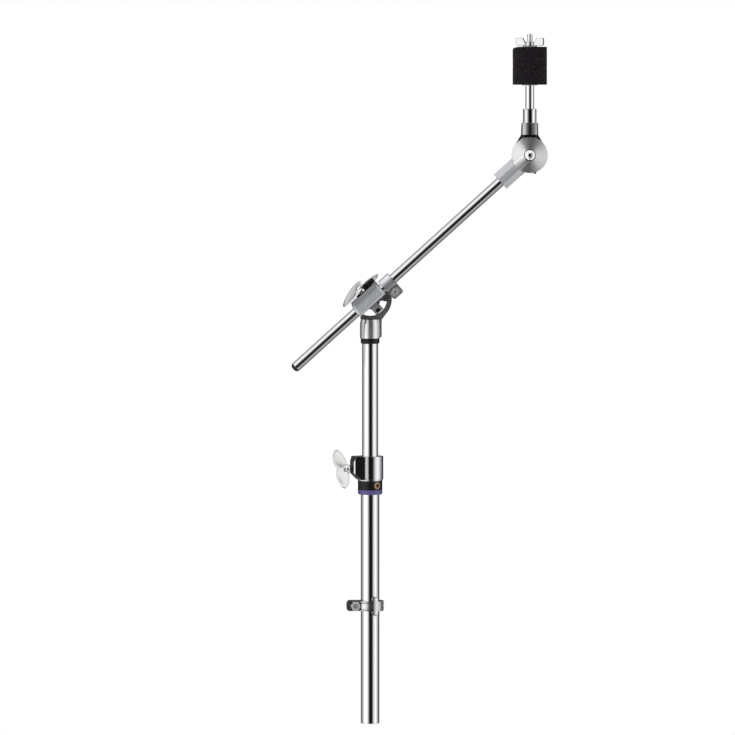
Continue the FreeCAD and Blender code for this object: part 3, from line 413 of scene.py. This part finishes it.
# ---- meshes built here, in millimetres until the last step ----
VOXEL = 0.4
EASE_ROUNDS = 6
PETAL_RINGS = 10
PETAL_STEPS = 56
PETAL_RIM_POWER = 5
PETAL_HOLLOW_REACH = 0.86


def skin(bm, rings, steps):
    """Faces between neighbouring rings, each of as many points as there are steps or of one point."""
    for low_ring, high_ring in zip(rings, rings[1:]):
        for k in range(steps):
            corners = [low_ring[k % len(low_ring)], low_ring[(k + 1) % len(low_ring)],
                       high_ring[(k + 1) % len(high_ring)], high_ring[k % len(high_ring)]]
            face = list(dict.fromkeys(corners))
            if len(face) > 2:
                bm.faces.new(face)


def turned_shell(bm, outline, steps=64):
    """Closed surface of revolution about Z from (radius, height) points."""
    rings = []
    for radius, height in outline:
        if radius == 0:
            rings.append([bm.verts.new((0, 0, height * MM))])
            continue
        ring = []
        for k in range(steps):
            angle = 2 * math.pi * k / steps
            place = (radius * math.cos(angle) * MM, radius * math.sin(angle) * MM, height * MM)
            ring.append(bm.verts.new(place))
        rings.append(ring)
    skin(bm, rings, steps)


def petal(bm, side, start, end, height, half_width, twist, lift, taper, thick=2.4, dish=0.75):
    """Oval wing with a raised rim and a dished middle, along +X or -X; its twist is in degrees."""
    half_length = (end - start) / 2
    centre = Vector((side * (start + end) / 2, 0, height))
    turn = math.radians(twist)
    wide = Vector((0, side * math.cos(turn), math.sin(turn)))
    long = Vector((side, 0, lift)).normalized()
    normal = long.cross(wide).normalized()
    rim_ring = None
    for face_side in (-1, 1):
        sheet = []
        for i in range(PETAL_RINGS + 1):
            if rim_ring and i == PETAL_RINGS:
                sheet.append(rim_ring)
                continue
            t = i / PETAL_RINGS
            rim = math.sqrt(max(0.0, 1 - t ** PETAL_RIM_POWER))
            hollow = dish * (1 - min(1.0, t / PETAL_HOLLOW_REACH) ** 3)
            depth = face_side * (thick / 2 * rim - hollow)
            ring = []
            for k in range(PETAL_STEPS if i else 1):
                angle = 2 * math.pi * k / PETAL_STEPS
                wider = 1 + taper * math.cos(angle)
                point = (centre + long * (half_length * t * math.cos(angle))
                         + wide * (half_width * t * math.sin(angle) * wider) + normal * depth)
                ring.append(bm.verts.new(point * MM))
            sheet.append(ring)
        rim_ring = sheet[-1]
        skin(bm, sheet, PETAL_STEPS)


def settle(obj, matrix, material):
    """Applies an object's modifiers, places its mesh in the shared frame and dresses it."""
    depsgraph = bpy.context.evaluated_depsgraph_get()
    depsgraph.update()
    mesh = bpy.data.meshes.new_from_object(obj.evaluated_get(depsgraph))
    mesh.transform(matrix)
    obj.modifiers.clear()
    obj.data = mesh
    for face in mesh.polygons:
        face.use_smooth = True
    dress(obj, material)
    return obj


def linked_object(name, bm):
    """Object in the scene from a finished mesh under construction."""
    obj = bpy.data.objects.new(name, bpy.data.meshes.new(name))
    bm.to_mesh(obj.data)
    bm.free()
    bpy.context.collection.objects.link(obj)
    return obj


def cast(name, bm, matrix, material):
    """Closed shells run together into one casting with soft inner corners."""
    bmesh.ops.recalc_face_normals(bm, faces=bm.faces)
    obj = linked_object(name, bm)
    melt = obj.modifiers.new("melt", "REMESH")
    melt.mode = "VOXEL"
    melt.voxel_size = VOXEL * MM
    ease = obj.modifiers.new("ease", "SMOOTH")
    ease.factor = 0.5
    ease.iterations = EASE_ROUNDS
    return settle(obj, matrix, material)


def stand_for(obj, node, rider):
    """The piece shows in place of a CAD node and moves with another."""
    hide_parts(node)
    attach(obj, rider)


# ---- wing handles ----
# Where the petals end, from the hub's axis.
PETAL_END = 28.9
CLAMP_WING_SPIN = math.radians(40)


def frame_matrix(origin, out, span):
    """Local frame at a joint: Z along its axis and X along the wing's span."""
    z = Vector(out).normalized()
    x = (Vector(span) - z * Vector(span).dot(z)).normalized()
    y = z.cross(x)
    return Matrix.Translation(Vector(origin)) @ Matrix((x, y, z)).transposed().to_4x4()


def along_joint(name):
    """Origin and axis of a joint."""
    joint = JOINTS[name]
    return Vector(joint["pos_m"]), Vector(joint["axis"]).normalized()


def reach(node, origin, axis):
    """How far a CAD node starts and ends along an axis, in millimetres."""
    obj = frame["nodes"][node]
    places = [(obj.matrix_world @ v.co - origin).dot(axis) / MM for v in obj.data.vertices]
    return min(places), max(places)


def clamp_wing():
    """Wing handle of the height clamp: a stepped hub and two petals level with its middle."""
    origin, out = along_joint("clamp_wing_turn")
    start, end = reach("clamp_wing", origin, out)
    up = Vector((0, 0, 1))
    span = up * math.cos(CLAMP_WING_SPIN) + out.cross(up) * math.sin(CLAMP_WING_SPIN)
    middle = (start + end) / 2
    bm = bmesh.new()
    turned_shell(bm, [
        (0, start), (4.9, start), (5.5, start + 0.6), (5.5, start + 3.6), (4.2, start + 5.5),
        (4.2, start + 7.4), (2.4, start + 8.4), (0.8, middle), (0, middle + 0.2),
    ])
    for side in (-1, 1):
        petal(bm, side, -3.0, PETAL_END, height=middle, half_width=8.0, twist=90, lift=0.05, taper=-0.22)
    made = cast("clamp_wing_handle", bm, frame_matrix(origin, out, span), WING_CHROME)
    stand_for(made, "clamp_wing", "clamp_wing")


def boom_wing():
    """Wing handle of the boom clamp: a low hub and two petals at different heights."""
    origin, out = along_joint("boom_wing_turn")
    start, _ = reach("boom_wing", origin, out)
    bm = bmesh.new()
    turned_shell(bm, [
        (0, start), (4.2, start), (4.6, start + 0.5), (4.4, start + 2.6), (4.2, start + 4.2),
        (4.0, start + 7.0), (3.0, start + 8.6), (0, start + 9.4),
    ])
    petal(bm, -1, -9.0, PETAL_END, height=start + 6.4, half_width=10.8, twist=150, lift=-0.19, taper=-0.15,
          dish=0.6)
    petal(bm, 1, -11.5, 28.6, height=start + 3.2, half_width=8.8, twist=151, lift=0.05, taper=-0.1,
          thick=3.0, dish=0.9)
    made = cast("boom_wing_handle", bm, frame_matrix(origin, out, RISE), BOOM_WING_CHROME)
    stand_for(made, "boom_wing", "boom_wing")


# ---- felts ----
FELT_BORE_R = 5.4
FELT_BORE_EDGE = 0.6
FELT_EDGE = 0.7
FELT_FUZZ = 0.2
BORE_KEPT = 1.0
FELT_STEPS = 220
FELT_FLAT_PARTS = 8
FELT_SIDE_PARTS = 14
FELT_ARC_PARTS = 6
# Lumps on the wool, as (lumps per millimetre, height).
FELT_LUMPS = [(0.12, 0.16), (0.55, 0.12), (1.9, 0.10)]
# How far the slumped edge moves in and down, and the share of the radius where it starts.
SLUMP_IN = 1.6
SLUMP_DOWN = 1.3
SLUMP_START = 0.7


def felt_outline(height, outer):
    """Points round a felt's half section, bottom to top, with round edges and a cut bore edge."""
    inner = FELT_BORE_R + FELT_BORE_EDGE
    flat = outer - FELT_EDGE - inner
    tall = height - 2 * FELT_EDGE
    outline = [(FELT_BORE_R, FELT_BORE_EDGE), (inner, 0)]
    outline += [(inner + flat * k / FELT_FLAT_PARTS, 0) for k in range(1, FELT_FLAT_PARTS)]
    arc = [math.radians(-90 + 90 * k / FELT_ARC_PARTS) for k in range(FELT_ARC_PARTS + 1)]
    corner = [(outer - FELT_EDGE * (1 - math.cos(a)), FELT_EDGE * (1 + math.sin(a))) for a in arc]
    outline += corner
    outline += [(outer, FELT_EDGE + tall * k / FELT_SIDE_PARTS) for k in range(1, FELT_SIDE_PARTS)]
    outline += [(radius, height - low) for radius, low in reversed(corner)]
    outline += [(outer - FELT_EDGE - flat * k / FELT_FLAT_PARTS, height) for k in range(1, FELT_FLAT_PARTS)]
    return outline + [(inner, height), (FELT_BORE_R, height - FELT_BORE_EDGE)]


def ruffle(bm, height, outer, seed, slump):
    """Moves a felt's points outside its bore: uneven wool, and a slump of its top left edge."""
    shift = Vector((seed * 7.3, seed * 1.7, seed * 3.1))
    for vert in bm.verts:
        place = vert.co / MM
        if place.xy.length < FELT_BORE_R + BORE_KEPT:
            continue
        swell = sum(tall * noise.noise(place * pace + shift) for pace, tall in FELT_LUMPS)
        vert.co += vert.normal * swell * MM
        if slump:
            near_top = max(0.0, place.z - height + slump) / slump
            left = 0.5 - 0.5 * place.x / outer
            near_rim = max(0.0, place.xy.length / outer - SLUMP_START) / (1 - SLUMP_START)
            vert.co.x += SLUMP_IN * near_top ** 2 * left * max(0.0, -place.x / outer) * MM
            vert.co.z -= SLUMP_DOWN * near_top * left * near_rim * MM


def felt(node, seed, slump=0.0):
    """Pressed felt: a soft-edged ring with an uneven, slightly fibrous surface."""
    low_corner, high_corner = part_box(node)
    centre = (Vector(low_corner) + Vector(high_corner)) / 2
    height = (high_corner[2] - low_corner[2]) / MM
    outer = (high_corner[0] - low_corner[0]) / 2 / MM
    bm = bmesh.new()
    outline = felt_outline(height, outer - FELT_FUZZ)
    turned_shell(bm, outline + outline[:1], FELT_STEPS)
    bmesh.ops.remove_doubles(bm, verts=bm.verts, dist=0.01 * MM)
    bmesh.ops.recalc_face_normals(bm, faces=bm.faces)
    bm.normal_update()
    ruffle(bm, height, outer, seed, slump)
    made = linked_object(node + "_wool", bm)
    settle(made, Matrix.Translation((centre.x, centre.y, low_corner[2])), MATERIALS["felt"])
    stand_for(made, node, "cymbal_rod")


# ---- studio, in metres ----
# Brightness of the studio round the object: degrees from the camera's side, positive to the right.
STUDIO_ROUND = [
    (-180, 0.10), (-150, 0.06), (-132, 0.12), (-110, 0.30), (-90, 0.66), (-72, 1.0), (-40, 1.0), (-27, 0.62),
    (-15, 0.17), (-6, 0.01), (18, 0.004), (28, 0.06), (41, 0.52), (56, 0.85), (72, 1.0), (90, 0.66),
    (110, 0.30), (135, 0.05), (160, 0.04), (180, 0.10),
]
STUDIO_COOL = 1.01
STUDIO_STRENGTH = 1.15
# Share of the pale tone, by height from straight down (0) to straight up (1).
STUDIO_HEIGHT = [(0.05, 0.5), (0.33, 0.0), (0.70, 0.0), (0.84, 1.0)]
STUDIO_PALE = (0.9, 0.9, 0.91, 1)
BACKDROP = (1.0, 1.0, 1.0, 1)
# The eye and its target stand this far to the side of the post's axis.
EYE_SIDE = -3.1 * MM
EYE_AWAY = 6.4
EYE_HEIGHT = 0.745
TARGET_HEIGHT = 0.4251
PICTURE_WIDTH = 0.87465
# The floor's side, its depth under the tube's end, and the distances from the middle over which
# it fades out.
FLOOR_SIZE = 4.4
FLOOR_DROP = 0.35
FLOOR_FADE = (0.9, 2.1)
LIT_POINT = Vector((0.05, 0, 0.5))
# Name, place, size and watts.
LIGHTS = [
    ("key_light", (-1.8, -2.2, 2.4), 1.6, 42),
    ("fill_light", (2.0, -2.4, 1.2), 1.8, 20),
]


def studio_world():
    """Two tall soft boxes with a dark gap at the camera, seen in reflections, and a white backdrop."""
    world = bpy.data.worlds.new("studio")
    bpy.context.scene.world = world
    world.use_nodes = True
    world.node_tree.nodes.clear()
    n = Nodes(world.node_tree)
    split = n.node("ShaderNodeSeparateXYZ")
    n.link(n.node("ShaderNodeTexCoord").outputs["Generated"], split.inputs[0])
    angle = n.maths("ARCTAN2", split.outputs["X"], n.maths("MULTIPLY", split.outputs["Y"], -1))
    stops = [(degrees / 360 + 0.5, (level, level, level * STUDIO_COOL)) for degrees, level in STUDIO_ROUND]
    around = n.ramp(n.spread(angle, 0, 1, -math.pi, math.pi), stops)
    pale = n.ramp(n.spread(split.outputs["Z"], 0, 1, -1, 1), STUDIO_HEIGHT)
    lit = n.node("ShaderNodeBackground", Strength=STUDIO_STRENGTH)
    n.link(n.mixed(pale, around, STUDIO_PALE), lit.inputs["Color"])
    seen = n.node("ShaderNodeBackground", Color=BACKDROP)
    choice = n.node("ShaderNodeMixShader")
    n.link(n.node("ShaderNodeLightPath").outputs["Is Camera Ray"], choice.inputs["Fac"])
    n.link(lit.outputs[0], choice.inputs[1])
    n.link(seen.outputs[0], choice.inputs[2])
    n.link(choice.outputs[0], n.node("ShaderNodeOutputWorld").inputs["Surface"])


def aim(obj, place, target):
    """Puts a camera or a light at a place and turns it to a target."""
    obj.location = place
    obj.rotation_mode = "QUATERNION"
    obj.rotation_quaternion = (target - obj.location).to_track_quat("-Z", "Y")


def camera():
    """Camera far in front and a little above the middle, as in the photo."""
    lens = bpy.data.cameras.new("camera")
    obj = bpy.data.objects.new("camera", lens)
    bpy.context.collection.objects.link(obj)
    bpy.context.scene.camera = obj
    target = Vector((EYE_SIDE, 0, TARGET_HEIGHT))
    aim(obj, (EYE_SIDE, -EYE_AWAY, EYE_HEIGHT), target)
    lens.lens = lens.sensor_width * (target - obj.location).length / PICTURE_WIDTH
    lens.clip_end = 100


def floor():
    """Pale floor well under the open tube end, fading out towards its rim."""
    s = Shader("pale_floor")
    s.surface(Base_Color=s.ramp(s.noise(6, 3), [(0.3, 0.90), (0.7, 0.92)]), Roughness=0.8,
              Alpha=s.spread(s.vector("LENGTH", s.place), 1.0, 0.0, *FLOOR_FADE))
    bpy.ops.mesh.primitive_plane_add(size=FLOOR_SIZE, location=(0, 0, -FLOOR_DROP))
    plane = bpy.context.object
    plane.name = "floor"
    dress(plane, s.material)
    plane.visible_glossy = False


def soft_light(name, place, size, watts):
    """Large area light aimed at the stand, kept out of the chrome's reflections and of the picture."""
    lamp = bpy.data.lights.new(name, "AREA")
    lamp.size = size
    lamp.energy = watts
    obj = bpy.data.objects.new(name, lamp)
    bpy.context.collection.objects.link(obj)
    aim(obj, place, LIT_POINT)
    obj.visible_glossy = False
    obj.visible_camera = False


def build():
    dress_cad()
    clamp_wing()
    boom_wing()
    felt("lower_felt", 1)
    felt("upper_felt", 2, slump=3.5)
    floor()
    for light in LIGHTS:
        soft_light(*light)
    studio_world()
    camera()
    bpy.context.scene.view_settings.view_transform = "Standard"


build()
